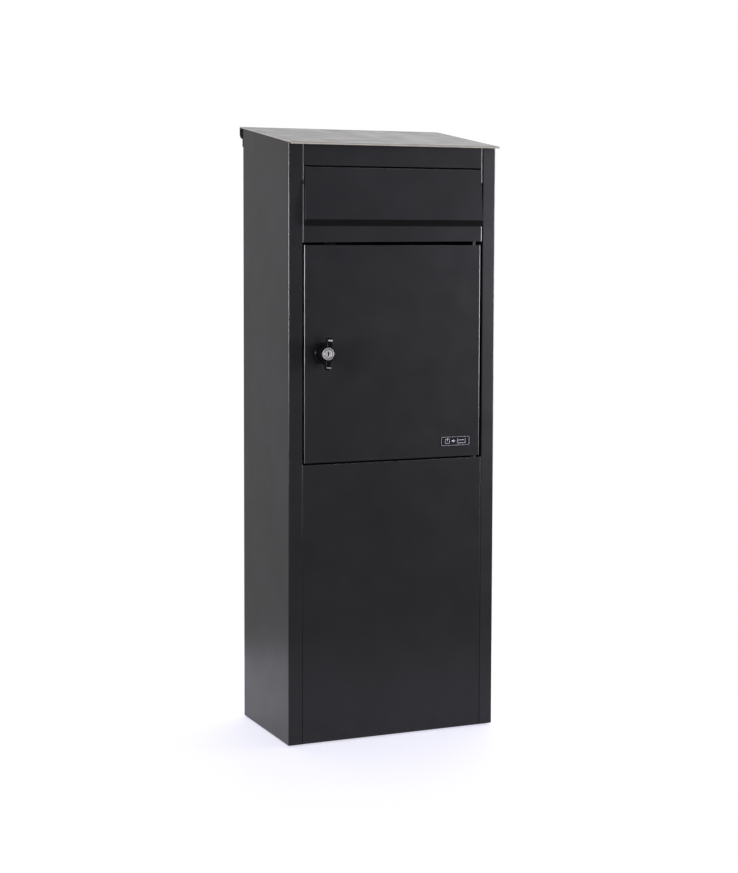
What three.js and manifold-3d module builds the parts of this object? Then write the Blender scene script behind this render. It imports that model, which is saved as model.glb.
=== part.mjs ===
// Free-standing parcel drop box: a folded sheet-steel cabinet with a sloping
// roof, a top-hung drop flap, a lockable door with a wing knob, and a closed
// plinth below it.  Millimetres, +Z up, +X to the right, the front faces -Y.
// The origin is the centre of the bounding box, on the ground.
import * as THREE from 'three';
import { mergeVertices } from 'three/addons/utils/BufferGeometryUtils.js';
import Module from 'manifold-3d';

// ---------------------------------------------------------------- dimensions
const BODY_W = 380;            // over the side panels
const BODY_D = 220;            // front plane to rear plane
const FRONT = -BODY_D / 2;     // y of the front plane
const REAR = BODY_D / 2;       // y of the rear plane
const HALF_W = BODY_W / 2;
const GAP = 0.3;               // air between pieces that touch

const T_SIDE = 1.5;            // side panel sheet
const T_SHEET = 1.25;          // all other folded panels
const T_BASE = 2;              // base plate
const R_SIDE = 2;              // outer bend radius of the side panels
const R_PANEL = 3;             // outer bend radius of the front panels' upright edges
const R_EDGE = 1.6;            // outer bend radius of their level edges

const STILE_IN = 166.2;        // half the width between the two front stiles
const INSERT = STILE_IN - GAP; // half width of the panels set between the stiles
const RETURN_Y = FRONT + 20;   // how far the stiles' return flanges reach in
const REAR_FLANGE = 20;        // width of the side panels' rear flanges

const ROOF_FRONT = -123;       // y of the roof's front lip
const ROOF_REAR = 126;         // y of the roof's rear flange
const ROOF_HALF_W = 190.5;
const ROOF_Z0 = 1001.5;        // underside of the roof at its front lip
const ROOF_SLOPE = 0.1494;     // rise per unit of depth
const T_ROOF = 1.5;
const ROOF_LIP_Z = 1000;       // lower edge of the front lip
const roofUnder = (y) => ROOF_Z0 + ROOF_SLOPE * (y - ROOF_FRONT);
const roofTop = (y) => roofUnder(y) + T_ROOF * Math.hypot(1, ROOF_SLOPE);

const SIDE_Z0 = T_BASE + GAP;  // lower edge of the side and front panels
const PLINTH_TOP = 471.8;      // upper edge of the fixed lower panel
const DOOR_Z0 = 474.2;
const DOOR_Z1 = 836;
const DOOR_HALF_W = 163.1;
const DOOR_DEPTH = 16;
const RAIL_Z_LEFT = 840;       // lower edge of the front frame, left end
const RAIL_Z_RIGHT = 842.3;    // and right end: the gap widens a little
const WINDOW_Z0 = 875;         // opening of the drop slot
const WINDOW_Z1 = 966.3;
const WINDOW_HALF_W = 163.2;
const PANEL_DEPTH = 20;

const FLAP_PIVOT_Y = -104;
const FLAP_PIVOT_Z = 939;
const FLAP_TOP = 964.3;
const FLAP_BEND_Z = 878.3;     // where the grip lip starts
const FLAP_PROUD = 8;          // the flap leans out this far at its lip
const FLAP_HALF_W = 162.4;
const LIP_HALF_W = 164.3;

const HINGE_X = 152.5;         // upright door pivot
const HINGE_Y = -103;

const LOCK_X = -128.5;
const LOCK_Z = 657;
const LOCK_FACE = -132;        // y of the knob's front rim
const WING_CLOCK = 3.5;        // degrees: how the wings sit on the spindle
const WING_R = 26.4;           // wing tip radius
const CAM_LEN = 40;
const CAM_Y0 = -85.7;
const CAM_Y1 = -83.2;

const FLOOR_TOP = 471.5;       // parcel compartment floor

const FRONT_MOST = -139.5;     // ridge on the wings
const BOX_CENTRE_Y = (FRONT_MOST + ROOF_REAR) / 2;

// ------------------------------------------------------------------- helpers
const wasm = await Module();
wasm.setup();

function solid(geometry, matrix) {
  const g = geometry.clone();
  g.deleteAttribute('normal');
  g.deleteAttribute('uv');
  const m = mergeVertices(g, 1e-4);
  if (matrix) m.applyMatrix4(matrix);
  return new wasm.Manifold(new wasm.Mesh({
    numProp: 3,
    vertProperties: new Float32Array(m.attributes.position.array),
    triVerts: new Uint32Array(m.index.array),
  }));
}

function geometryOf(body) {
  const m = body.getMesh();
  const g = new THREE.BufferGeometry();
  g.setAttribute('position', new THREE.BufferAttribute(new Float32Array(m.vertProperties), 3));
  g.setIndex(new THREE.BufferAttribute(new Uint32Array(m.triVerts), 1));
  g.computeVertexNormals();
  return g;
}

// local (u, v, w) of an extrusion taken to the object's axes
const basis = (u, v, w, at) => new THREE.Matrix4().makeBasis(u, v, w).setPosition(...at);
const X = new THREE.Vector3(1, 0, 0);
const Y = new THREE.Vector3(0, 1, 0);
const Z = new THREE.Vector3(0, 0, 1);
const NEG_Y = new THREE.Vector3(0, -1, 0);

function prism(points, length) {
  const shape = new THREE.Shape(points.map(([a, b]) => new THREE.Vector2(a, b)));
  return new THREE.ExtrudeGeometry(shape, { depth: length, bevelEnabled: false });
}
const prismZ = (pts, z0, z1) => solid(prism(pts, z1 - z0), basis(X, Y, Z, [0, 0, z0]));
const prismX = (pts, x0, x1) => solid(prism(pts, x1 - x0), basis(Y, Z, X, [x0, 0, 0]));
const prismY = (pts, y0, y1) => solid(prism(pts, y1 - y0), basis(X, Z, NEG_Y, [0, y1, 0]));

function block(x0, x1, y0, y1, z0, z1) {
  const m = new THREE.Matrix4().setPosition((x0 + x1) / 2, (y0 + y1) / 2, (z0 + z1) / 2);
  return solid(new THREE.BoxGeometry(x1 - x0, y1 - y0, z1 - z0), m);
}
// round bars and cones; r0 is the radius at the low end, r1 at the high end
function rodZ(x, y, z0, z1, r0, r1 = r0, n = 24) {
  const g = new THREE.CylinderGeometry(r1, r0, z1 - z0, n);
  g.rotateX(Math.PI / 2);
  return solid(g, new THREE.Matrix4().setPosition(x, y, (z0 + z1) / 2));
}
function rodY(x, z, y0, y1, r0, r1 = r0, n = 24) {
  const g = new THREE.CylinderGeometry(r1, r0, y1 - y0, n);
  return solid(g, new THREE.Matrix4().setPosition(x, (y0 + y1) / 2, z));
}
function rodX(y, z, x0, x1, r0, r1 = r0, n = 24) {
  const g = new THREE.CylinderGeometry(r1, r0, x1 - x0, n);
  g.rotateZ(-Math.PI / 2);
  return solid(g, new THREE.Matrix4().setPosition((x0 + x1) / 2, y, z));
}

// polygon with rounded corners: radii[i] belongs to points[i]
function rounded(points, radii, segments = 3) {
  const out = [];
  const n = points.length;
  for (let i = 0; i < n; i += 1) {
    const r = radii[i] || 0;
    const p = points[i];
    if (r < 0.02) { out.push(p); continue; }
    const a = points[(i + n - 1) % n];
    const b = points[(i + 1) % n];
    const ua = [a[0] - p[0], a[1] - p[1]];
    const ub = [b[0] - p[0], b[1] - p[1]];
    const la = Math.hypot(...ua);
    const lb = Math.hypot(...ub);
    ua[0] /= la; ua[1] /= la; ub[0] /= lb; ub[1] /= lb;
    const half = Math.acos(Math.max(-1, Math.min(1, ua[0] * ub[0] + ua[1] * ub[1]))) / 2;
    if (half > Math.PI / 2 - 0.01) { out.push(p); continue; }
    const cut = r / Math.tan(half);
    const bis = [ua[0] + ub[0], ua[1] + ub[1]];
    const lbis = Math.hypot(...bis);
    const c = [p[0] + (bis[0] / lbis) * (r / Math.sin(half)), p[1] + (bis[1] / lbis) * (r / Math.sin(half))];
    const s = [p[0] + ua[0] * cut, p[1] + ua[1] * cut];
    const e = [p[0] + ub[0] * cut, p[1] + ub[1] * cut];
    const t0 = Math.atan2(s[1] - c[1], s[0] - c[0]);
    let dt = Math.atan2(e[1] - c[1], e[0] - c[0]) - t0;
    while (dt > Math.PI) dt -= 2 * Math.PI;
    while (dt < -Math.PI) dt += 2 * Math.PI;
    for (let k = 0; k <= segments; k += 1) {
      const t = t0 + (dt * k) / segments;
      out.push([c[0] + r * Math.cos(t), c[1] + r * Math.sin(t)]);
    }
  }
  return out;
}

// section of a folded sheet: the path is one face of it, the sheet lies to the
// left (side 1) or right (side -1) of the path
function folded(path, t, radius, side = 1, segments = 3) {
  const n = path.length;
  const dir = [];
  for (let i = 0; i + 1 < n; i += 1) {
    const d = [path[i + 1][0] - path[i][0], path[i + 1][1] - path[i][1]];
    const l = Math.hypot(...d);
    dir.push([d[0] / l, d[1] / l]);
  }
  const normal = (d) => [-d[1] * side, d[0] * side];
  const far = [];
  const rNear = [];
  const rFar = [];
  for (let i = 0; i < n; i += 1) {
    const a = i > 0 ? normal(dir[i - 1]) : normal(dir[0]);
    const b = i < n - 1 ? normal(dir[i]) : normal(dir[n - 2]);
    const k = t / (1 + a[0] * b[0] + a[1] * b[1]);
    far.push([path[i][0] + (a[0] + b[0]) * k, path[i][1] + (a[1] + b[1]) * k]);
    if (i === 0 || i === n - 1) { rNear.push(0); rFar.push(0); continue; }
    const turn = (dir[i - 1][0] * dir[i][1] - dir[i - 1][1] * dir[i][0]) * side;
    rNear.push(turn > 0 ? radius : radius - t);
    rFar.push(turn > 0 ? radius - t : radius);
  }
  return rounded([...path, ...far.reverse()], [...rNear, ...rFar.reverse()], segments);
}

// shallow pressed pan, open to the rear
function panBlock(x0, x1, z0, z1, y0, y1, rx, rz) {
  const plan = prismZ(rounded([[x0, y0], [x1, y0], [x1, y1], [x0, y1]], [rx, rx, 0, 0], 4), z0, z1);
  const side = prismX(rounded([[y0, z0], [y1, z0], [y1, z1], [y0, z1]], [rz, 0, 0, rz], 3), x0, x1);
  return plan.intersect(side);
}
function pan(x0, x1, z0, z1, y0, depth, t, rx, rz) {
  return panBlock(x0, x1, z0, z1, y0, y0 + depth, rx, rz)
    .subtract(panBlock(x0 + t, x1 - t, z0 + t, z1 - t, y0 + t, y0 + depth + 2, rx - t, rz - t));
}

// ----------------------------------------------------------------- materials
const steelBlack = { color: 0x1d1d20, roughness: 0.42, metalness: 0.15 };
const looks = {
  panel: steelBlack,
  roof: { color: 0x232325, roughness: 0.36, metalness: 0.15 },
  inner: { color: 0x202022, roughness: 0.5, metalness: 0.1 },
  zinc: { color: 0xa9acb0, roughness: 0.35, metalness: 0.9 },
  lockBlack: { color: 0x0b0b0d, roughness: 0.35, metalness: 0.2 },
  lockFace: { color: 0xc9c8c4, roughness: 0.3, metalness: 0.9 },
  rubber: { color: 0x101010, roughness: 0.85, metalness: 0 },
  nylon: { color: 0xd9d8d2, roughness: 0.5, metalness: 0 },
  badge: { color: 0x14161d, roughness: 0.3, metalness: 0.5 },
};

const box = new THREE.Group();
box.position.y = -BOX_CENTRE_Y;
function add(name, body, look) {
  const mesh = new THREE.Mesh(geometryOf(body), new THREE.MeshStandardMaterial(looks[look]));
  mesh.name = name;
  box.add(mesh);
}

// ------------------------------------------------------------- side panels
// each is one sheet: rear flange, side, front stile, return flange
const underRoof = prismX([
  [-140, -10], [140, -10], [140, roofUnder(140) - GAP], [-140, roofUnder(-140) - GAP],
], -200, 200);
const RIVET_Z = [80, 500, 940];
const RIVET_X = 180;
for (const s of [-1, 1]) {
  const path = [
    [s * (HALF_W - REAR_FLANGE), REAR], [s * HALF_W, REAR], [s * HALF_W, FRONT],
    [s * STILE_IN, FRONT], [s * STILE_IN, RETURN_Y],
  ];
  let body = prismZ(folded(path, T_SIDE, R_SIDE, -s, 4), SIDE_Z0, 1045).intersect(underRoof);
  for (const z of RIVET_Z) body = body.subtract(rodY(s * RIVET_X, z, REAR - 4, REAR + 2, 1.9, 1.9, 12));
  if (s < 0) {
    for (const z of [645, 669]) body = body.subtract(rodX(-98, z, -170, -164, 1.9, 1.9, 12));
  }
  add(s < 0 ? 'left_side_panel' : 'right_side_panel', body, 'panel');
}

// --------------------------------------------------------------- back panel
const BACK_Y1 = REAR - T_SIDE - GAP;
const BACK_HALF = HALF_W - T_SIDE - GAP;
{
  const path = [[-BACK_HALF, 95], [-BACK_HALF, BACK_Y1], [BACK_HALF, BACK_Y1], [BACK_HALF, 95]];
  let body = prismZ(folded(path, T_SHEET, R_SIDE, -1, 3), SIDE_Z0, 1045).intersect(underRoof);
  for (const s of [-1, 1]) {
    for (const z of RIVET_Z) body = body.subtract(rodY(s * RIVET_X, z, 100, REAR, 1.9, 1.9, 12));
  }
  for (const x of [-120, 0, 120]) body = body.subtract(rodY(x, 1011.5, 100, REAR, 2.3, 2.3, 12));
  add('back_panel', body, 'panel');
}
{
  let n = 1;
  for (const s of [-1, 1]) {
    for (const z of RIVET_Z) {
      const body = rodY(s * RIVET_X, z, REAR + GAP, REAR + 1.6, 3.6, 2.2, 16)
        .add(rodY(s * RIVET_X, z, 104.5, REAR + 1, 1.6, 1.6, 12));
      add(`back_rivet_${n}`, body, 'panel');
      n += 1;
    }
  }
}

// --------------------------------------------------------------- base plate
// a tray under the panels' lower edges, with upturned flanges inside them
const ANCHORS = [[-135, -60], [135, -60], [-135, 70], [135, 70]];
{
  let body = prismZ(rounded([[-187, -102], [187, -102], [187, 107], [-187, 107]], [3, 3, 3, 3], 3), 0, T_BASE);
  const h = 20;
  body = body.add(block(-186.7, -185.2, -88, 94, 1, h)).add(block(185.2, 186.7, -88, 94, 1, h));
  body = body.add(block(-180, 180, 104.9, 106.5, 1, h)).add(block(-160, 160, -89.6, -88.1, 1, h));
  for (const [x, y] of ANCHORS) body = body.subtract(rodZ(x, y, -1, T_BASE + 1, 6, 6, 24));
  add('base_plate', body, 'inner');
}

// --------------------------------------------------------------------- roof
// front lip, sloping sheet, rear flange that rolls back in to the rear wall
{
  const zr = roofTop(ROOF_REAR);
  const drop = zr - 12.6;
  const path = [[ROOF_FRONT, ROOF_LIP_Z], [ROOF_FRONT, roofTop(ROOF_FRONT)], [ROOF_REAR, zr]];
  const cy = REAR + GAP + T_ROOF;
  const ry = ROOF_REAR - cy;
  const rz = 9.8;
  const arc = 8;
  for (let i = 0; i <= arc; i += 1) {
    const t = (i / arc) * (Math.PI / 2);
    path.push([cy + ry * Math.cos(t), drop - rz * Math.sin(t)]);
  }
  path.push([cy, drop - rz - 13]);
  let body = prismX(folded(path, T_ROOF, 1.9, -1, 4), -ROOF_HALF_W, ROOF_HALF_W);
  for (const x of [-120, 0, 120]) body = body.subtract(rodY(x, 1011.5, REAR - 2, REAR + 5, 2.3, 2.3, 12));
  add('roof_panel', body, 'roof');
}
for (const [name, x] of [['roof_screw_left', -120], ['roof_screw_middle', 0], ['roof_screw_right', 120]]) {
  const y0 = REAR + GAP + T_ROOF + GAP;
  const body = rodY(x, 1011.5, y0, y0 + 1.2, 4, 4, 20).add(rodY(x, 1011.5, y0 + 1.2, y0 + 2.4, 4, 2.6, 20))
    .add(rodY(x, 1011.5, 103, y0 + 0.5, 1.9, 1.9, 12))
    .subtract(block(x - 0.5, x + 0.5, y0 + 1.3, y0 + 3, 1009.3, 1013.7))
    .subtract(block(x - 2.2, x + 2.2, y0 + 1.3, y0 + 3, 1011, 1012));
  add(name, body, 'zinc');
}
for (const s of [-1, 1]) {
  // angle under the roof, along the top of each side
  const xo = HALF_W - T_SIDE - GAP;
  const z = ROOF_Z0 - GAP - ROOF_SLOPE * ROOF_FRONT;
  const pts = folded([[s * xo, z - 22], [s * xo, z - 0.05], [s * (xo - 18), z - 0.05]], T_SHEET, 1.8, s, 3);
  const g = prism(pts, 180);
  const m = basis(X, Z, NEG_Y, [0, 93, 0]);
  const shear = new THREE.Matrix4().set(1, 0, 0, 0, 0, 1, 0, 0, 0, ROOF_SLOPE, 1, 0, 0, 0, 0, 1);
  add(s < 0 ? 'roof_bracket_left' : 'roof_bracket_right', solid(g, shear.multiply(m)), 'inner');
}

// -------------------------------------------------------------- front frame
// one pressing: upper rail, middle rail and the narrow edges beside the flap
{
  const zTop = 1010;
  const y1 = FRONT + PANEL_DEPTH;
  const front = (inset, deep) => {
    const plan = prismZ(rounded(
      [[-INSERT + inset, FRONT + inset], [INSERT - inset, FRONT + inset], [INSERT - inset, y1 + deep], [-INSERT + inset, y1 + deep]],
      [R_PANEL - inset, R_PANEL - inset, 0, 0], 4), 830, zTop);
    const rise = (RAIL_Z_RIGHT - RAIL_Z_LEFT) / (2 * INSERT);
    const zl = RAIL_Z_LEFT - 10 * rise + inset;
    const zr = RAIL_Z_RIGHT + 10 * rise + inset;
    const face = prismY([[-INSERT - 10, zl], [INSERT + 10, zr], [INSERT + 10, zTop], [-INSERT - 10, zTop]], FRONT - 5, y1 + 5);
    return plan.intersect(face);
  };
  let body = front(0, 0).subtract(front(T_SHEET, 2));
  // top flange under the roof
  const lid = prismX([
    [FRONT, roofUnder(FRONT) - GAP - T_SHEET], [y1, roofUnder(y1) - GAP - T_SHEET],
    [y1, roofUnder(y1) - GAP], [FRONT, roofUnder(FRONT) - GAP],
  ], -INSERT + 1, INSERT - 1);
  body = body.intersect(underRoof).add(lid.intersect(front(0, 0)));
  // the slot, with inward flanges along its upper and lower edges
  body = body.subtract(block(-WINDOW_HALF_W, WINDOW_HALF_W, FRONT - 1, y1 + 3, WINDOW_Z0, WINDOW_Z1));
  body = body.add(block(-INSERT + 0.6, INSERT - 0.6, FRONT + 0.9, FRONT + 15, WINDOW_Z0 - T_SHEET, WINDOW_Z0));
  body = body.add(block(-INSERT + 0.6, INSERT - 0.6, FRONT + 0.9, FRONT + 12, WINDOW_Z1, WINDOW_Z1 + T_SHEET));
  // pivot slots in the edges, and the flap pin holes
  for (const s of [-1, 1]) {
    const xa = s * (WINDOW_HALF_W - 1);
    const xb = s * (INSERT - 0.9);
    body = body.subtract(block(Math.min(xa, xb), Math.max(xa, xb), FRONT - 1, FRONT + 3, 936, 942));
    body = body.subtract(rodX(FLAP_PIVOT_Y, FLAP_PIVOT_Z, s * 165 - 3, s * 165 + 3, 2.8, 2.8, 16));
  }
  body = body.subtract(rodZ(HINGE_X, HINGE_Y, 835, 850, 2.9, 2.9, 16));
  add('front_frame', body, 'panel');
}

// -------------------------------------------------------- lower front panel
{
  let body = pan(-INSERT, INSERT, SIDE_Z0, PLINTH_TOP, FRONT, PANEL_DEPTH, T_SHEET, R_PANEL, R_EDGE);
  body = body.subtract(rodZ(HINGE_X, HINGE_Y, 465, 480, 2.9, 2.9, 16));
  add('lower_front_panel', body, 'panel');
}

// ------------------------------------------------------- compartment floor
{
  const z0 = FLOOR_TOP - T_SHEET;
  let body = prismZ([
    [-188.2, -89.5], [188.2, -89.5], [188.2, 94.6], [186.5, 94.6], [186.5, 106.6],
    [-186.5, 106.6], [-186.5, 94.6], [-188.2, 94.6],
  ], z0, FLOOR_TOP);
  const zf = z0 - 16;
  body = body.add(block(-188.2, -186.95, -89, 94.3, zf, z0 + 0.5)).add(block(186.95, 188.2, -89, 94.3, zf, z0 + 0.5));
  body = body.add(block(-184, 184, 105.35, 106.6, zf, z0 + 0.5)).add(block(-160, 160, -89.5, -88.25, zf, z0 + 0.5));
  add('compartment_floor', body, 'inner');
}

// ---------------------------------------------------------------- drop chute
{
  const path = [[-89.7, 849], [-89.7, 872.6], [5, 812], [5, 799]];
  add('drop_chute', prismX(folded(path, T_SHEET, 2, -1, 3), -184, 184), 'inner');
}

// ------------------------------------------------------- strike and rivets
{
  const path = [[-169.5, -106], [-169.5, -86.2], [-158, -86.2]];
  let body = prismZ(folded(path, T_SIDE, 1.9, -1, 3), 637, 677);
  for (const z of [645, 669]) body = body.subtract(rodX(-98, z, -172, -166, 1.9, 1.9, 12));
  add('strike_plate', body, 'zinc');
  for (const [name, z] of [['strike_rivet_lower', 645], ['strike_rivet_upper', 669]]) {
    const r = rodX(-98, z, -165.9, -164.8, 3.2, 2.1, 16).add(rodX(-98, z, -171, -165.2, 1.6, 1.6, 12))
      .add(rodX(-98, z, -171, -169.8, 2.6, 2.6, 16));
    add(name, r, 'zinc');
  }
}

// -------------------------------------------------------------- door stops
{
  const railAt = (x) => RAIL_Z_LEFT + ((RAIL_Z_RIGHT - RAIL_Z_LEFT) * (x + INSERT)) / (2 * INSERT);
  add('door_stop_upper', block(-120, -100, -93.7, -90.4, 831.5, railAt(-120) - GAP), 'rubber');
  add('door_stop_lower', block(-120, -100, -93.7, -90.4, PLINTH_TOP + GAP, 480.5), 'rubber');
}

// -------------------------------------------------------------- hinge pins
{
  const zf = RAIL_Z_RIGHT + T_SHEET + GAP;
  add('hinge_pin_upper', rodZ(HINGE_X, HINGE_Y, zf, zf + 2, 5, 4.4).add(rodZ(HINGE_X, HINGE_Y, 828, zf + 1, 2.5, 2.5)), 'zinc');
  const zl = PLINTH_TOP - T_SHEET - GAP;
  add('hinge_pin_lower', rodZ(HINGE_X, HINGE_Y, zl - 2, zl, 4.4, 5).add(rodZ(HINGE_X, HINGE_Y, zl - 1, 482, 2.5, 2.5)), 'zinc');
}

// ------------------------------------------------- flap pivots and bumpers
for (const s of [-1, 1]) {
  const head = [s * 158.9, s * 160.8];
  const shank = [s * 160, s * 165.8];
  const body = rodX(FLAP_PIVOT_Y, FLAP_PIVOT_Z, Math.min(...head), Math.max(...head), 4.2, 4.2, 20)
    .add(rodX(FLAP_PIVOT_Y, FLAP_PIVOT_Z, Math.min(...shank), Math.max(...shank), 2.5, 2.5, 16));
  add(s < 0 ? 'flap_pivot_left' : 'flap_pivot_right', body, 'zinc');
}
for (const s of [-1, 1]) {
  const body = rodY(s * 140, 872.4, FRONT - 1.8, FRONT - GAP, 1.8, 2.2, 20);
  add(s < 0 ? 'flap_bumper_left' : 'flap_bumper_right', body, 'rubber');
}

// --------------------------------------------------------------------- door
{
  let body = pan(-DOOR_HALF_W, DOOR_HALF_W, DOOR_Z0, DOOR_Z1, FRONT, DOOR_DEPTH, T_SHEET, R_PANEL, R_EDGE);
  body = body.subtract(rodY(LOCK_X, LOCK_Z, FRONT - 2, FRONT + 4, 11.1, 11.1, 32));
  body = body.subtract(rodZ(HINGE_X, HINGE_Y, DOOR_Z1 - 4, DOOR_Z1 + 2, 4.1, 4.1, 20));
  body = body.subtract(rodZ(HINGE_X, HINGE_Y, DOOR_Z0 - 2, DOOR_Z0 + 4, 4.1, 4.1, 20));
  add('door_panel', body, 'panel');
}
{
  const y = FRONT + T_SHEET + GAP;
  const path = [[-30, y], [-18, y], [-18, y + 11], [18, y + 11], [18, y], [30, y]];
  add('door_stiffener', prismZ(folded(path, 1.2, 2, 1, 3), 480, 830), 'inner');
}
{
  const up = rodZ(HINGE_X, HINGE_Y, 833.2, DOOR_Z1 - T_SHEET - GAP, 5.2, 5.2, 24)
    .add(rodZ(HINGE_X, HINGE_Y, 833.2, DOOR_Z1 + 0.3, 3.8, 3.8, 20))
    .subtract(rodZ(HINGE_X, HINGE_Y, 830, 840, 2.9, 2.9, 20));
  add('door_bush_upper', up, 'nylon');
  const down = rodZ(HINGE_X, HINGE_Y, PLINTH_TOP + GAP, DOOR_Z0 - GAP, 5.2, 5.2, 24)
    .add(rodZ(HINGE_X, HINGE_Y, PLINTH_TOP + GAP, DOOR_Z0 + 2.6, 3.8, 3.8, 20))
    .subtract(rodZ(HINGE_X, HINGE_Y, 470, 480, 2.9, 2.9, 20));
  add('door_bush_lower', down, 'nylon');
}
{
  const pts = rounded([[88.3, 493.2], [142.3, 493.2], [142.3, 509], [88.3, 509]], [2.6, 2.6, 2.6, 2.6], 4);
  add('badge_plate', prismY(pts, FRONT - 1.1, FRONT - GAP), 'badge');
}

// --------------------------------------------------------------------- lock
{
  // rose on the door's face and the barrel that goes through the sheet
  const face = FRONT - GAP;
  const body = rodY(LOCK_X, LOCK_Z, face - 3, face, 17.5, 17.5, 36)
    .add(rodY(LOCK_X, LOCK_Z, face - 5.7, face - 2.9, 15, 17.5, 36))
    .add(rodY(LOCK_X, LOCK_Z, face - 1, -90, 10.8, 10.8, 32))
    .subtract(rodY(LOCK_X, LOCK_Z, -120, -80, 7.4, 7.4, 24));
  add('lock_housing', body, 'lockBlack');
  const hex = [];
  for (let i = 0; i < 6; i += 1) {
    const a = (i / 6) * 2 * Math.PI;
    hex.push([LOCK_X + 15.6 * Math.cos(a), LOCK_Z + 15.6 * Math.sin(a)]);
  }
  const y0 = FRONT + T_SHEET + GAP;
  add('lock_nut', prismY(hex, y0, y0 + 5).subtract(rodY(LOCK_X, LOCK_Z, y0 - 1, y0 + 6, 11.1, 11.1, 32)), 'zinc');
}
{
  // hub, spindle and the two finger wings with a ridge across each tip
  const back = -116.3;
  let body = rodY(LOCK_X, LOCK_Z, LOCK_FACE, LOCK_FACE + 1, 12.6, 13.2, 32)
    .add(rodY(LOCK_X, LOCK_Z, LOCK_FACE + 1, back, 13.2, 13.2, 32))
    .add(rodY(LOCK_X, LOCK_Z, back - 1, -86, 7, 7, 24));
  for (const s of [-1, 1]) {
    const r0 = 11.2;
    const arm = rounded([[-4.7, s * r0], [-4.7, s * WING_R], [4.7, s * WING_R], [4.7, s * r0]], [0, 2.4, 2.4, 0], 3);
    const wing = solid(prism(arm, 8.4), basis(X, Z, NEG_Y, [0, -129, 0]));
    const bar = rodX(-137.2, s * 22.7, -4.2, 4.2, 2.3, 2.3, 16);
    const web = solid(prism([[-4.7, s * 11.6], [-4.7, s * 19], [4.7, s * 19], [4.7, s * 11.6]], 9), basis(X, Z, NEG_Y, [0, -121, 0]));
    const both = geometryOf(wing.add(bar).add(web));
    const turn = new THREE.Matrix4().makeRotationY((WING_CLOCK * Math.PI) / 180).setPosition(LOCK_X, 0, LOCK_Z);
    body = body.add(solid(both, turn));
  }
  body = body.subtract(rodY(LOCK_X, LOCK_Z, LOCK_FACE - 8, LOCK_FACE + 11, 10.8, 10.8, 32));
  body = body.subtract(rodY(LOCK_X, LOCK_Z, -98, -85, 2.8, 2.8, 12));
  add('wing_knob', body, 'lockBlack');

  const shell = rodY(LOCK_X, LOCK_Z, LOCK_FACE - 0.4, LOCK_FACE + 10.7, 10.5, 10.5, 32)
    .subtract(rodY(LOCK_X, LOCK_Z, LOCK_FACE - 2, LOCK_FACE + 12, 7.3, 7.3, 28));
  add('cylinder_shell', shell, 'lockFace');

  const cam = rounded([[-9, -CAM_LEN], [9, -CAM_LEN], [9, 9], [-9, 9]], [5, 5, 6, 6], 4)
    .map(([a, b]) => [a + LOCK_X, b + LOCK_Z]);
  add('lock_cam', prismY(cam, CAM_Y0, CAM_Y1).subtract(rodY(LOCK_X, LOCK_Z, CAM_Y0 - 1, CAM_Y1 + 1, 2.8, 2.8, 12)), 'zinc');

  const screw = rodY(LOCK_X, LOCK_Z, CAM_Y1 + GAP, CAM_Y1 + GAP + 3.2, 4.6, 3.8, 6)
    .add(rodY(LOCK_X, LOCK_Z, -96, CAM_Y1 + GAP + 1, 2.5, 2.5, 12));
  add('cam_screw', screw, 'zinc');

  const plug = rodY(LOCK_X, LOCK_Z, LOCK_FACE - 0.7, LOCK_FACE + 10.5, 7, 7, 28)
    .subtract(block(LOCK_X - 1, LOCK_X + 1, LOCK_FACE - 2, LOCK_FACE + 6, LOCK_Z - 4, LOCK_Z + 4));
  add('lock_plug', plug, 'lockFace');
}

// --------------------------------------------------------------------- flap
{
  const tip = [FRONT - 2.8, 867.9];
  const bend = [FRONT - FLAP_PROUD, FLAP_BEND_Z];
  const path = [[FRONT + 8, FLAP_TOP], [FRONT, FLAP_TOP], bend, tip];
  const section = folded(path, T_SHEET, 1.7, 1, 3);
  let body = prismX(section, -FLAP_HALF_W, FLAP_HALF_W);
  body = body.add(prismX(section, -LIP_HALF_W, LIP_HALF_W).intersect(block(-170, 170, -130, -100, 860, 876.6)));
  // rolled edge along the lip
  body = body.add(rodX(tip[0] + 0.35, tip[1] + 0.9, -LIP_HALF_W, LIP_HALF_W, 1.4, 1.4, 12).intersect(block(-170, 170, -130, FRONT - 0.5, 860, 880)));
  const cheek = [
    [-98, FLAP_TOP], [FRONT + 0.1, FLAP_TOP - 0.1], [FRONT - FLAP_PROUD + 0.2, FLAP_BEND_Z],
    [FRONT - FLAP_PROUD + 1.3, 876.9], [-98.5, 876.9], [-96.5, 880], [-96.5, 955],
  ];
  for (const s of [-1, 1]) {
    const xs = [s * (FLAP_HALF_W - T_SHEET), s * FLAP_HALF_W];
    body = body.add(prismX(cheek, Math.min(...xs), Math.max(...xs)));
    body = body.subtract(rodX(FLAP_PIVOT_Y, FLAP_PIVOT_Z, s * 162 - 3, s * 162 + 3, 2.8, 2.8, 16));
  }
  add('flap_panel', body, 'panel');
  const path2 = [[-114.6, 893.3], [-108.8, 895], [-106.1, 925], [-111.1, 927]];
  add('flap_stiffener', prismX(folded(path2, 1.2, 1.8, 1, 3), -150, 150), 'inner');
}

export default box;
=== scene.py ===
import math
import bpy
import bmesh
from mathutils import Matrix, Vector


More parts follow.
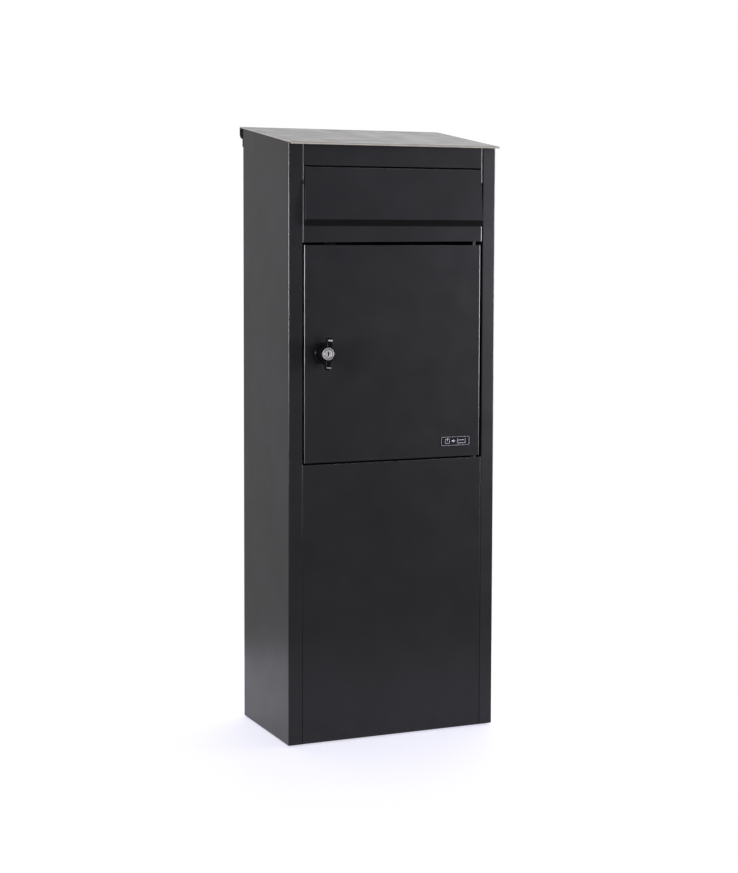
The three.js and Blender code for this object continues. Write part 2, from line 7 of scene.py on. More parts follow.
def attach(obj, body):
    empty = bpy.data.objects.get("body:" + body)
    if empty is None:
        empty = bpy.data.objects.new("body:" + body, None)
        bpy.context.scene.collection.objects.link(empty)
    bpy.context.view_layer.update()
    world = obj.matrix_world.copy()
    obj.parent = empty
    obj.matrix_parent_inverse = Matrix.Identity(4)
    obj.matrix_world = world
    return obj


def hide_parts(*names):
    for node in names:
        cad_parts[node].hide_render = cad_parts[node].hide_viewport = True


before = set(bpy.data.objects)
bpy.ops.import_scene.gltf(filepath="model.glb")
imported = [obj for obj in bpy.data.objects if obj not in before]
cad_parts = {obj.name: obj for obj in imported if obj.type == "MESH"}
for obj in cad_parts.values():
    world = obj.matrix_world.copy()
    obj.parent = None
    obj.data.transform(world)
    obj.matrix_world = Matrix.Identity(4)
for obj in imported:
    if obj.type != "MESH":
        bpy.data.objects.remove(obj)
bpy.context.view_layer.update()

MM = 0.001
SH = 6.75                # the cabinet's centre lies this far behind the frame's origin, mm
scene = bpy.context.scene

# ------------------------------------------------------------- dimensions, mm
FRONT, REAR, HALF_W = -110.0, 110.0, 190.0
GAP = 0.3
T_SIDE, T_SHEET = 1.5, 1.25
STILE_IN = 165.4
INSERT = STILE_IN - GAP
ROOF_FRONT, ROOF_REAR, ROOF_HALF_W = -123.0, 126.0, 190.5
ROOF_Z0, ROOF_SLOPE, T_ROOF, ROOF_LIP_Z = 1001.5, 0.1494, 1.5, 1000.0
SIDE_Z0, PLINTH_TOP, DOOR_Z0, DOOR_Z1 = 2.3, 471.8, 474.2, 836.0
DOOR_HALF_W, DOOR_DEPTH = 162.4, 16.0
RAIL_Z_LEFT, RAIL_Z_RIGHT = 840.0, 842.3
WINDOW_Z0, WINDOW_Z1, WINDOW_HALF_W = 875.0, 966.3, 162.8
PANEL_DEPTH = 20.0
PIVOT_Y, PIVOT_Z = -104.0, 939.0
FLAP_TOP, FLAP_BEND_Z, FLAP_PROUD, FLAP_HALF_W, LIP_HALF_W = 964.3, 878.3, 8.0, 161.9, 163.8
HINGE_X, HINGE_Y = 152.5, -103.0
LOCK_X, LOCK_Z, LOCK_FACE, WING_CLOCK, WING_R = -128.5, 657.0, -132.0, 3.5, 26.4
RIVET_X, RIVET_Z = 180.0, (80.0, 500.0, 940.0)
BACK_Y1 = REAR - T_SIDE - GAP
BACK_HALF = HALF_W - T_SIDE - GAP


def roof_under(y):
    return ROOF_Z0 + ROOF_SLOPE * (y - ROOF_FRONT)


def roof_top(y):
    return roof_under(y) + T_ROOF * math.hypot(1, ROOF_SLOPE)


# ---------------------------------------------------------------- mesh helpers
def solid(name, verts, faces):
    me = bpy.data.meshes.new(name)
    me.from_pydata([(x * MM, (y + SH) * MM, z * MM) for x, y, z in verts], [], faces)
    bm = bmesh.new()
    bm.from_mesh(me)
    bmesh.ops.recalc_face_normals(bm, faces=bm.faces)
    bm.to_mesh(me)
    bm.free()
    ob = bpy.data.objects.new(name, me)
    scene.collection.objects.link(ob)
    return ob


def prism(pts, a0, a1, axis, name="part"):
    """A section drawn in the plane across the axis, run from a0 to a1 along it."""
    n = len(pts)
    put = {"X": lambda p, a: (a, p[0], p[1]), "Y": lambda p, a: (p[0], a, p[1]), "Z": lambda p, a: (p[0], p[1], a)}[axis]
    verts = [put(p, a0) for p in pts] + [put(p, a1) for p in pts]
    faces = [list(range(n))[::-1], list(range(n, 2 * n))] + [[i, (i + 1) % n, n + (i + 1) % n, n + i] for i in range(n)]
    return solid(name, verts, faces)


def block(x0, x1, y0, y1, z0, z1, name="block"):
    return prism([(x0, y0), (x1, y0), (x1, y1), (x0, y1)], z0, z1, "Z", name)


def lathe(profile, centre, axis, name="turned", n=64, turn=0.0):
    """A closed (radius, height) profile turned about an axis. A profile that starts and ends at radius 0 is a solid, else it is a ring."""
    ring = profile[0][0] > 1e-6
    put = {
        "X": lambda r, h, c, s: (h, centre[0] + r * c, centre[1] + r * s),
        "Y": lambda r, h, c, s: (centre[0] + r * c, h, centre[1] + r * s),
        "Z": lambda r, h, c, s: (centre[0] + r * c, centre[1] + r * s, h),
    }[axis]
    verts, rows, faces = [], [], []
    for r, h in profile:
        if r < 1e-6:
            rows.append([len(verts)])
            verts.append(put(0, h, 1, 0))
        else:
            rows.append(list(range(len(verts), len(verts) + n)))
            for i in range(n):
                t = 2 * math.pi * i / n + turn
                verts.append(put(r, h, math.cos(t), math.sin(t)))
    pairs = list(zip(rows, rows[1:])) + ([(rows[-1], rows[0])] if ring else [])
    for a, b in pairs:
        for i in range(n):
            j = (i + 1) % n
            if len(a) == 1 and len(b) == 1:
                break
            if len(a) == 1:
                faces.append([a[0], b[j], b[i]])
            elif len(b) == 1:
                faces.append([a[i], a[j], b[0]])
            else:
                faces.append([a[i], a[j], b[j], b[i]])
    return solid(name, verts, faces)


def rod(centre, axis, a0, a1, r, name="rod", n=48):
    return lathe([(0, a0), (r, a0), (r, a1), (0, a1)], centre, axis, name, n)


def rounded(points, radii, segments=8):
    """Polygon with rounded corners; radii[i] belongs to points[i]."""
    out, n = [], len(points)
    for i, p in enumerate(points):
        r = radii[i]
        if r < 0.02:
            out.append(tuple(p))
            continue
        a, b = points[i - 1], points[(i + 1) % n]
        ua, ub = Vector((a[0] - p[0], a[1] - p[1])), Vector((b[0] - p[0], b[1] - p[1]))
        ua.normalize()
        ub.normalize()
        half = math.acos(max(-1, min(1, ua.dot(ub)))) / 2
        if half > math.pi / 2 - 0.01:
            out.append(tuple(p))
            continue
        bis = (ua + ub).normalized()
        c = Vector(p) + bis * (r / math.sin(half))
        s = Vector(p) + ua * (r / math.tan(half))
        e = Vector(p) + ub * (r / math.tan(half))
        t0 = math.atan2(s[1] - c[1], s[0] - c[0])
        dt = math.atan2(e[1] - c[1], e[0] - c[0]) - t0
        dt = (dt + math.pi) % (2 * math.pi) - math.pi
        k = max(2, round(segments * abs(dt) / (math.pi / 2)))
        for j in range(k + 1):
            t = t0 + dt * j / k
            out.append((c[0] + r * math.cos(t), c[1] + r * math.sin(t)))
    return out


def folded(path, t, radius, side=1, segments=9):
    """Section of a bent sheet: the path is one face of it, and the sheet lies to the left (side 1) or right (side -1)."""
    n = len(path)
    d = []
    for i in range(n - 1):
        v = Vector((path[i + 1][0] - path[i][0], path[i + 1][1] - path[i][1]))
        d.append(v.normalized())
    far, near_r, far_r = [], [], []
    for i in range(n):
        a = d[max(i - 1, 0)]
        b = d[min(i, n - 2)]
        na, nb = Vector((-a[1] * side, a[0] * side)), Vector((-b[1] * side, b[0] * side))
        k = t / (1 + na.dot(nb))
        far.append((path[i][0] + (na[0] + nb[0]) * k, path[i][1] + (na[1] + nb[1]) * k))
        if i in (0, n - 1):
            near_r.append(0)
            far_r.append(0)
            continue
        turn = (a[0] * b[1] - a[1] * b[0]) * side
        r = radius[i - 1] if isinstance(radius, (list, tuple)) else radius
        near_r.append(r if turn > 0 else r - t)
        far_r.append(r - t if turn > 0 else r)
    return rounded(list(path) + far[::-1], near_r + far_r[::-1], segments)


def boolean(a, b, operation):
    m = a.modifiers.new("boolean", "BOOLEAN")
    m.operation = operation
    m.solver = "EXACT"
    m.object = b
    dg = bpy.context.evaluated_depsgraph_get()
    dg.update()
    me = bpy.data.meshes.new_from_object(a.evaluated_get(dg))
    a.modifiers.clear()
    old = a.data
    a.data = me
    bpy.data.meshes.remove(old)
    old = b.data
    bpy.data.objects.remove(b)
    bpy.data.meshes.remove(old)
    return a


def cut(a, *others):
    for b in others:
        boolean(a, b, "DIFFERENCE")
    return a


def join(a, *others):
    for b in others:
        boolean(a, b, "UNION")
    return a


def meet(a, b):
    return boolean(a, b, "INTERSECT")


def tidy(ob):
    """Merges doubled points and takes out the flat edges a boolean leaves."""
    bm = bmesh.new()
    bm.from_mesh(ob.data)
    bmesh.ops.remove_doubles(bm, verts=bm.verts, dist=2e-6)
    bmesh.ops.dissolve_degenerate(bm, edges=bm.edges, dist=1e-6)
    bmesh.ops.dissolve_limit(bm, angle_limit=math.radians(0.3), verts=bm.verts, edges=bm.edges)
    bmesh.ops.recalc_face_normals(bm, faces=bm.faces)
    bm.to_mesh(ob.data)
    bm.free()
    return ob


def round_edges(ob, pick, width, segments=4):
    """Bevels the edges that pick(point_a, point_b) chooses, in mm of the cabinet."""
    bm = bmesh.new()
    bm.from_mesh(ob.data)

    def mm(v):
        return Vector((v.co.x / MM, v.co.y / MM - SH, v.co.z / MM))
    edges = [e for e in bm.edges if pick(mm(e.verts[0]), mm(e.verts[1]))]
    bmesh.ops.bevel(bm, geom=edges, offset=width * MM, segments=segments, profile=0.5, affect="EDGES", clamp_overlap=True)
    bm.to_mesh(ob.data)
    bm.free()
    return ob


# ------------------------------------------------------------------- materials
def node_material(name):
    m = bpy.data.materials.new(name)
    m.use_nodes = True
    nt = m.node_tree
    nt.nodes.clear()
    out = nt.nodes.new("ShaderNodeOutputMaterial")
    bsdf = nt.nodes.new("ShaderNodeBsdfPrincipled")
    nt.links.new(bsdf.outputs[0], out.inputs[0])
    tc = nt.nodes.new("ShaderNodeTexCoord")
    return m, nt, bsdf, tc


def noise(nt, tc, scale, detail=2.0, rough=0.5, stretch=None, distortion=0.0):
    n = nt.nodes.new("ShaderNodeTexNoise")
    n.inputs["Scale"].default_value = scale
    n.inputs["Detail"].default_value = detail
    n.inputs["Roughness"].default_value = rough
    n.inputs["Distortion"].default_value = distortion
    if stretch:
        mp = nt.nodes.new("ShaderNodeMapping")
        mp.inputs["Scale"].default_value = stretch
        nt.links.new(tc.outputs["Object"], mp.inputs[0])
        nt.links.new(mp.outputs[0], n.inputs["Vector"])
    else:
        nt.links.new(tc.outputs["Object"], n.inputs["Vector"])
    return n.outputs["Fac"]


def remap(nt, value, a, b, c, d):
    r = nt.nodes.new("ShaderNodeMapRange")
    r.inputs["From Min"].default_value = a
    r.inputs["From Max"].default_value = b
    r.inputs["To Min"].default_value = c
    r.inputs["To Max"].default_value = d
    r.clamp = True
    nt.links.new(value, r.inputs["Value"])
    return r.outputs[0]


def maths(nt, op, a, b=None):
    m = nt.nodes.new("ShaderNodeMath")
    m.operation = op
    for i, v in enumerate((a, b)):
        if v is None:
            continue
        if isinstance(v, (int, float)):
            m.inputs[i].default_value = v
        else:
            nt.links.new(v, m.inputs[i])
    return m.outputs[0]


def mix(nt, fac, a, b):
    m = nt.nodes.new("ShaderNodeMix")
    m.data_type = "RGBA"
    if isinstance(fac, (int, float)):
        m.inputs[0].default_value = fac
    else:
        nt.links.new(fac, m.inputs[0])
    for i, v in ((6, a), (7, b)):
        if isinstance(v, tuple):
            m.inputs[i].default_value = (*v, 1)
        else:
            nt.links.new(v, m.inputs[i])
    return m.outputs[2]


def bump(nt, bsdf, layers):
    """layers: (height, distance in metres, strength), stacked."""
    last = None
    for h, dist, strength in layers:
        b = nt.nodes.new("ShaderNodeBump")
        b.inputs["Distance"].default_value = dist
        b.inputs["Strength"].default_value = strength
        nt.links.new(h, b.inputs["Height"])
        if last:
            nt.links.new(last, b.inputs["Normal"])
        last = b.outputs[0]
    nt.links.new(last, bsdf.inputs["Normal"])


def powder(name, dark, light, rough, spread, peel=1.0, worn=0.0, dust=0.0, spec=0.5):
    """Powder coat: orange-peel skin, faint mottling, settled dust, and on worn edges small bright nicks."""
    m, nt, b, tc = node_material(name)
    blotch = noise(nt, tc, 7, 4, 0.55)
    speck = noise(nt, tc, 900, 1, 0.5)
    col = mix(nt, remap(nt, blotch, 0.3, 0.7, 0, 1), dark, light)
    col = mix(nt, remap(nt, speck, 0.62, 0.8, 0, 0.12), col, tuple(c * 2.6 for c in light))
    rgh = remap(nt, noise(nt, tc, 22, 5, 0.6), 0.25, 0.75, rough - spread, rough + spread)
    if dust:
        sep = nt.nodes.new("ShaderNodeSeparateXYZ")
        nt.links.new(tc.outputs["Object"], sep.inputs[0])
        geo = nt.nodes.new("ShaderNodeNewGeometry")
        nrm = nt.nodes.new("ShaderNodeSeparateXYZ")
        nt.links.new(geo.outputs["Normal"], nrm.inputs[0])
        low = remap(nt, sep.outputs["Z"], 0.0, 0.12, 1.0, 0.0)
        up = remap(nt, nrm.outputs["Z"], 0.4, 0.98, 0.0, 1.0)
        film = maths(nt, "MAXIMUM", maths(nt, "MULTIPLY", low, 0.55), up)
        grain = remap(nt, noise(nt, tc, 60, 6, 0.7), 0.42, 0.75, 0.0, 1.0)
        film = maths(nt, "MULTIPLY", maths(nt, "MULTIPLY", film, grain), dust)
        col = mix(nt, film, col, (0.16, 0.15, 0.14))
    if worn:
        nick = maths(nt, "MULTIPLY", remap(nt, noise(nt, tc, 140, 5, 0.7), 0.60, 0.68, 0, 1), remap(nt, noise(nt, tc, 11, 2, 0.5), 0.5, 0.66, 0, 1))
        nick = maths(nt, "MULTIPLY", nick, worn)
        rub = maths(nt, "MULTIPLY", remap(nt, noise(nt, tc, 30, 4, 0.6), 0.35, 0.7, 0, 1), 0.35 * worn)
        col = mix(nt, rub, col, tuple(c * 3 for c in light))
        col = mix(nt, nick, col, (0.20, 0.195, 0.19))
        rgh = maths(nt, "SUBTRACT", rgh, maths(nt, "MULTIPLY", rub, 0.25))
    nt.links.new(col, b.inputs["Base Color"])
    nt.links.new(rgh, b.inputs["Roughness"])
    b.inputs["IOR"].default_value = 1.45
    b.inputs["Specular IOR Level"].default_value = spec
    b.inputs["Metallic"].default_value = 0.0
    bump(nt, b, [
        (noise(nt, tc, 4.5, 1, 0.5), 0.0006, 0.10),
        (noise(nt, tc, 620, 2, 0.5), 0.00004 * peel, 0.35),
        (noise(nt, tc, 210, 2, 0.4), 0.00007 * peel, 0.25),
    ])
    return m


def metal(name, dark, light, rough, spread, grain=(1, 1, 1), scale=300, spangle=0.0, tarnish=0.0, peel=0.00003):
    m, nt, b, tc = node_material(name)
    fine = noise(nt, tc, scale, 4, 0.6, grain)
    col = mix(nt, remap(nt, fine, 0.3, 0.7, 0, 1), dark, light)
    rgh = remap(nt, noise(nt, tc, scale * 0.6, 3, 0.6, grain), 0.3, 0.7, rough - spread, rough + spread)
    if spangle:
        v = nt.nodes.new("ShaderNodeTexVoronoi")
        v.inputs["Scale"].default_value = 170
        nt.links.new(tc.outputs["Object"], v.inputs["Vector"])
        cell = remap(nt, v.outputs["Color"], 0, 1, 0, spangle)
        col = mix(nt, cell, col, tuple(c * 0.62 for c in light))
    if tarnish:
        t = maths(nt, "MULTIPLY", remap(nt, noise(nt, tc, 90, 5, 0.65), 0.5, 0.72, 0, 1), tarnish)
        col = mix(nt, t, col, (0.18, 0.165, 0.15))
        rgh = maths(nt, "ADD", rgh, maths(nt, "MULTIPLY", t, 0.25))
    nt.links.new(col, b.inputs["Base Color"])
    nt.links.new(rgh, b.inputs["Roughness"])
    b.inputs["Metallic"].default_value = 1.0
    bump(nt, b, [(noise(nt, tc, scale * 1.5, 3, 0.6, grain), peel, 0.5)])
    return m


def turned_metal(name, dark, light, rough, axis_xz, pitch=2600):
    """Satin metal with the fine rings a lathe leaves about an axis along Y."""
    m, nt, b, tc = node_material(name)
    mp = nt.nodes.new("ShaderNodeMapping")
    mp.vector_type = "POINT"
    mp.inputs["Location"].default_value = (-axis_xz[0] * MM, 0, -axis_xz[1] * MM)
    mp.inputs["Scale"].default_value = (1, 0, 1)
    nt.links.new(tc.outputs["Object"], mp.inputs[0])
    ln = nt.nodes.new("ShaderNodeVectorMath")
    ln.operation = "LENGTH"
    nt.links.new(mp.outputs[0], ln.inputs[0])
    comb = nt.nodes.new("ShaderNodeCombineXYZ")
    nt.links.new(maths(nt, "MULTIPLY", ln.outputs["Value"], pitch), comb.inputs[0])
    rings = nt.nodes.new("ShaderNodeTexNoise")
    rings.inputs["Scale"].default_value = 1.0
    rings.inputs["Detail"].default_value = 3
    nt.links.new(comb.outputs[0], rings.inputs["Vector"])
    scratch = noise(nt, tc, 420, 5, 0.7, (1, 1, 0.25))
    col = mix(nt, remap(nt, rings.outputs["Fac"], 0.3, 0.7, 0, 1), dark, light)
    col = mix(nt, remap(nt, scratch, 0.6, 0.72, 0, 0.4), col, tuple(c * 0.5 for c in dark))
    rgh = remap(nt, rings.outputs["Fac"], 0.3, 0.7, rough - 0.06, rough + 0.08)
    nt.links.new(col, b.inputs["Base Color"])
    nt.links.new(rgh, b.inputs["Roughness"])
    b.inputs["Metallic"].default_value = 1.0
    bump(nt, b, [(rings.outputs["Fac"], 0.00002, 0.5), (scratch, 0.00001, 0.4)])
    return m


def moulded(name, dark, light, rough, grain_scale, grain_depth, spec=0.5):
    m, nt, b, tc = node_material(name)
    col = mix(nt, remap(nt, noise(nt, tc, 40, 4, 0.6), 0.3, 0.7, 0, 1), dark, light)
    col = mix(nt, remap(nt, noise(nt, tc, 500, 3, 0.6), 0.58, 0.75, 0, 0.25), col, tuple(min(1, c * 1.8 + 0.01) for c in light))
    nt.links.new(col, b.inputs["Base Color"])
    nt.links.new(remap(nt, noise(nt, tc, 80, 4, 0.6), 0.3, 0.7, rough - 0.05, rough + 0.06), b.inputs["Roughness"])
    b.inputs["Specular IOR Level"].default_value = spec
    bump(nt, b, [(noise(nt, tc, grain_scale, 3, 0.6), grain_depth, 0.6)])
    return m


BODY = powder("body_powder", (0.0028, 0.0027, 0.0031), (0.0044, 0.0042, 0.0050), 0.30, 0.035, dust=0.03, spec=0.30)
BODY_EDGE = powder("body_powder_edge", (0.0034, 0.0032, 0.0036), (0.0056, 0.0053, 0.0060), 0.28, 0.035, worn=0.8, spec=0.35)
ROOF = powder("roof_powder", (0.0080, 0.0076, 0.0082), (0.0115, 0.0110, 0.0120), 0.36, 0.05, dust=0.12)
ROOF_EDGE = powder("roof_powder_edge", (0.009, 0.0088, 0.0095), (0.014, 0.0135, 0.0145), 0.32, 0.04, worn=0.8)
# light warm-grey paint: a painted highlight along the roof's front lip and side edges, with worn-edge nicks on top of
# it
ROOF_LIP = powder("roof_lip_painted_highlight", (0.120, 0.113, 0.098), (0.170, 0.161, 0.140), 0.38, 0.05, dust=0.0, worn=0.5)
# near-black, almost glossless powder: painted shade for the gaps beside the door and along the stiles' inner edges
GAP_SHADE_PAINT = powder("body_powder_painted_gap_shade", (0.0012, 0.0012, 0.0013), (0.0020, 0.0019, 0.0020), 0.45, 0.04, spec=0.03)
# near-black, almost glossless powder: painted shade on the flap's down-facing lip
LIP_SHADE_PAINT = powder("flap_lip_painted_shade", (0.0018, 0.0018, 0.0019), (0.0028, 0.0027, 0.0028), 0.45, 0.05, spec=0.04)
INNER = powder("inner_powder", (0.0046, 0.0046, 0.0049), (0.0066, 0.0065, 0.0069), 0.42, 0.05, peel=1.3, dust=0.2, spec=0.33)
INNER_EDGE = powder("inner_powder_edge", (0.0052, 0.0052, 0.0055), (0.0080, 0.0078, 0.0082), 0.40, 0.05, worn=0.6, spec=0.35)
ZINC = metal("zinc_plate", (0.30, 0.31, 0.325), (0.44, 0.45, 0.465), 0.36, 0.07, (1, 1, 1), 260, spangle=0.45, tarnish=0.5)
ZINC_EDGE = metal("zinc_plate_edge", (0.38, 0.385, 0.395), (0.52, 0.525, 0.53), 0.30, 0.05, (1, 1, 1), 300, tarnish=0.25)
LOCK_BLACK = moulded("lock_black", (0.0016, 0.0016, 0.0018), (0.0026, 0.0026, 0.0029), 0.24, 900, 0.00001, 0.03)
LOCK_BLACK_EDGE = moulded("lock_black_edge", (0.0018, 0.0018, 0.0020), (0.0030, 0.0030, 0.0033), 0.28, 900, 0.00001, 0.01)
LOCK_GLOSS = moulded("lock_black_polished", (0.004, 0.004, 0.0042), (0.006, 0.006, 0.0063), 0.22, 900, 0.00001, 0.5)
LOCK_FACE_M = turned_metal("lock_nickel", (0.22, 0.218, 0.214), (0.29, 0.287, 0.282), 0.52, (LOCK_X, LOCK_Z))
LOCK_RIM_M = turned_metal("lock_nickel_rim", (0.15, 0.149, 0.146), (0.20, 0.198, 0.194), 0.60, (LOCK_X, LOCK_Z))
RUBBER = moulded("rubber", (0.0022, 0.0022, 0.0022), (0.0038, 0.0037, 0.0036), 0.85, 700, 0.00010, 0.04)
DARK_STEEL = metal("dark_steel", (0.020, 0.020, 0.021), (0.036, 0.036, 0.037), 0.40, 0.06, (1, 1, 1), 400, tarnish=0.3)
NYLON = moulded("nylon", (0.004, 0.004, 0.0043), (0.007, 0.007, 0.0074), 0.50, 500, 0.00003, 0.18)
BADGE = metal("badge_enamel", (0.0022, 0.0026, 0.0055), (0.0036, 0.0042, 0.0085), 0.26, 0.05, (1, 1, 8), 200, peel=0.00002)
BADGE.node_tree.nodes["Principled BSDF"].inputs["Metallic"].default_value = 0.0
BADGE.node_tree.nodes["Principled BSDF"].inputs["Specular IOR Level"].default_value = 0.15
SILVER = metal("badge_silver", (0.50, 0.50, 0.52), (0.74, 0.74, 0.76), 0.26, 0.06, (1, 1, 8), 500, tarnish=0.2)

SLOT_LOOKS = {
    "body_paint": (BODY, BODY_EDGE), "roof_paint": (ROOF, ROOF_EDGE), "inner_paint": (INNER, INNER_EDGE),
    "zinc_steel": (ZINC, ZINC_EDGE), "lock_black": (LOCK_BLACK, LOCK_BLACK_EDGE), "lock_face": (LOCK_FACE_M, LOCK_RIM_M),
    "rubber": (RUBBER, RUBBER), "nylon": (NYLON, NYLON), "badge": (BADGE, SILVER),
}


def shade(ob, look, bevel=0.3, segments=2, angle=32, edge=True):
    """Materials, a small edge round that carries the worn-edge material, and area-weighted normals."""
    me = ob.data
    me.materials.clear()
    for m in look:
        me.materials.append(m)
    for p in me.polygons:
        p.use_smooth = True
        p.material_index = 0
    if bevel:
        b = ob.modifiers.new("edges", "BEVEL")
        b.width = bevel * MM
        b.segments = segments
        b.limit_method = "ANGLE"
        b.angle_limit = math.radians(angle)
        b.miter_outer = "MITER_SHARP"
        b.use_clamp_overlap = True
        if edge:
            b.material = 1
    w = ob.modifiers.new("normals", "WEIGHTED_NORMAL")
    w.keep_sharp = False
    w.weight = 80


def piece(ob, name, nodes, body, slot, bevel=0.3, segments=2, angle=32, look=None, edge=True, patch=None):
    """patch: (material, pick(centre in mm)) puts a third material on the faces that pick chooses."""
    ob.name = name
    ob.data.name = name
    shade(ob, look or SLOT_LOOKS[slot], bevel, segments, angle, edge)
    if patch:
        ob.data.materials.append(patch[0])
        for p in ob.data.polygons:
            c = p.center
            if patch[1](c.x / MM, c.y / MM - SH, c.z / MM):
                p.material_index = 2
    if nodes:
        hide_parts(*([nodes] if isinstance(nodes, str) else nodes))
    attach(ob, body)
    return ob


# ------------------------------------------------------------------ side panels
def under_roof(name="under_roof"):
    return prism([(-150, -10), (150, -10), (150, roof_under(150) - GAP), (-150, roof_under(-150) - GAP)], -200, 200, "X", name)


for s in (-1, 1):
    lean = 1.35 if s > 0 else 0.0      # the right stile is bent a little past square
    path = [(s * (HALF_W - 20), REAR), (s * HALF_W, REAR), (s * HALF_W, FRONT + lean), (s * STILE_IN, FRONT), (s * STILE_IN, FRONT + 20)]
    ob = prism(folded(path, T_SIDE, [2.0, 2.0, 1.1], -s), SIDE_Z0, 1045, "Z")
    meet(ob, under_roof())
    for z in RIVET_Z:
        cut(ob, rod((s * RIVET_X, z), "Y", REAR - 4, REAR + 2, 1.9, n=24))
    if s < 0:
        for z in (645, 669):
            cut(ob, rod((-98, z), "X", -170, -164, 1.9, n=24))
    tidy(ob)
    # an edge loop level with the lower front panel's top: the open gaps start there, and so does the painted gap shade
    # on the stiles
    bm = bmesh.new()
    bm.from_mesh(ob.data)
    bmesh.ops.bisect_plane(bm, geom=bm.verts[:] + bm.edges[:] + bm.faces[:], plane_co=(0, 0, 473 * MM), plane_no=(0, 0, 1))
    bm.to_mesh(ob.data)
    bm.free()
    side = "left" if s < 0 else "right"
    # above the lower panel, the stiles' inner bends and returns are painted dark as shade in the gaps
    piece(ob, f"{side}_side_sheet", f"{side}_side_panel", "housing", "body_paint",
          patch=(GAP_SHADE_PAINT, lambda x, y, z: z > 473 and abs(x) < STILE_IN + 1.9 and FRONT + 0.02 < y < FRONT + 21))

# ------------------------------------------------------------------- back panel
path = [(-BACK_HALF, 95), (-BACK_HALF, BACK_Y1), (BACK_HALF, BACK_Y1), (BACK_HALF, 95)]
ob = prism(folded(path, T_SHEET, 2.0, -1), SIDE_Z0, 1045, "Z")
meet(ob, under_roof())
for s in (-1, 1):
    for z in RIVET_Z:
        cut(ob, rod((s * RIVET_X, z), "Y", 100, REAR, 1.9, n=24))
for x in (-120, 0, 120):
    cut(ob, rod((x, 1011.5), "Y", 100, REAR, 2.3, n=24))
tidy(ob)
piece(ob, "back_sheet", "back_panel", "housing", "body_paint")

n = 1
for s in (-1, 1):
    for z in RIVET_Z:
        # domed blind rivet with its mandrel dimple
        prof = [(0, 104.5), (1.6, 104.5), (1.6, REAR + GAP), (3.6, REAR + GAP), (3.58, REAR + 0.5), (3.35, REAR + 0.85), (2.9, REAR + 1.2), (2.2, REAR + 1.48),
                (1.6, REAR + 1.6), (1.15, REAR + 1.6), (1.05, REAR + 1.2), (0, REAR + 1.15)]
        piece(lathe(prof, (s * RIVET_X, z), "Y", n=40), f"rear_rivet_{n}", f"back_rivet_{n}", "housing", "body_paint", bevel=0, edge=False)
        n += 1

# ------------------------------------------------------------------------- roof
zr = roof_top(ROOF_REAR)
drop = zr - 12.6
path = [(ROOF_FRONT, ROOF_LIP_Z), (ROOF_FRONT, roof_top(ROOF_FRONT)), (ROOF_REAR, zr)]
cy = REAR + GAP + T_ROOF
for i in range(17):
    t = i / 16 * math.pi / 2
    path.append((cy + (ROOF_REAR - cy) * math.cos(t), drop - 9.8 * math.sin(t)))
path.append((cy, drop - 9.8 - 13))
ob = prism(folded(path, T_ROOF, 1.9, -1), -ROOF_HALF_W, ROOF_HALF_W, "X")
for x in (-120, 0, 120):
    cut(ob, rod((x, 1011.5), "Y", REAR - 2, REAR + 5, 2.3, n=24))
tidy(ob)
# the roof's front lip and its side edges carry the painted highlight
piece(ob, "roof_sheet", "roof_panel", "housing", "roof_paint", bevel=0.35, segments=3,
      patch=(ROOF_LIP, lambda x, y, z: (y < ROOF_FRONT + 1.1 and z < 1003.2) or (abs(x) > ROOF_HALF_W - 0.1 and y < REAR)))

for label, x in (("left", -120), ("middle", 0), ("right", 120)):
    y0 = REAR + GAP + T_ROOF + GAP
    prof = [(0, 103), (1.2, 103), (1.9, 104), (1.9, y0), (4.0, y0), (4.0, y0 + 1.0), (3.85, y0 + 1.5), (3.4, y0 + 1.95), (2.6, y0 + 2.3), (1.4, y0 + 2.4), (0, y0 + 2.4)]
    ob = lathe(prof, (x, 1011.5), "Y", n=48)
    cut(ob, block(x - 0.5, x + 0.5, y0 + 1.3, y0 + 3, 1009.3, 1013.7), block(x - 2.2, x + 2.2, y0 + 1.3, y0 + 3, 1011, 1012))
    tidy(ob)
    piece(ob, f"rear_screw_{label}", f"roof_screw_{label}", "housing", "zinc_steel", bevel=0.12, segments=2, angle=40)


# ----------------------------------------------------------------- pressed pans
def pan_block(x0, x1, z0, z1, y0, y1, rx, rz):
    plan = prism(rounded([(x0, y0), (x1, y0), (x1, y1), (x0, y1)], [rx, rx, 0, 0], 10), z0, z1, "Z")
    side_view = prism(rounded([(y0, z0), (y1, z0), (y1, z1), (y0, z1)], [rz, 0, 0, rz], 8), x0 - 1, x1 + 1, "X")
    return meet(plan, side_view)


def pan(x0, x1, z0, z1, y0, depth, t, rx, rz):
    return cut(pan_block(x0, x1, z0, z1, y0, y0 + depth, rx, rz),
               pan_block(x0 + t, x1 - t, z0 + t, z1 - t, y0 + t, y0 + depth + 2, rx - t, rz - t))


# front frame: upper rail, middle rail and the narrow edges beside the flap
z_top = 1010.0
y1 = FRONT + PANEL_DEPTH
rise = (RAIL_Z_RIGHT - RAIL_Z_LEFT) / (2 * INSERT)


def frame_block(inset, deep):
    plan = prism(rounded([(-INSERT + inset, FRONT + inset), (INSERT - inset, FRONT + inset), (INSERT - inset, y1 + deep), (-INSERT + inset, y1 + deep)],
                         [3 - inset, 3 - inset, 0, 0], 10), 830, z_top, "Z")
    zl = RAIL_Z_LEFT - 10 * rise + inset
    zr_ = RAIL_Z_RIGHT + 10 * rise + inset
    face = prism([(-INSERT - 10, zl), (INSERT + 10, zr_), (INSERT + 10, z_top + 1), (-INSERT - 10, z_top + 1)], FRONT - 5, y1 + 5, "Y")
    return meet(plan, face)


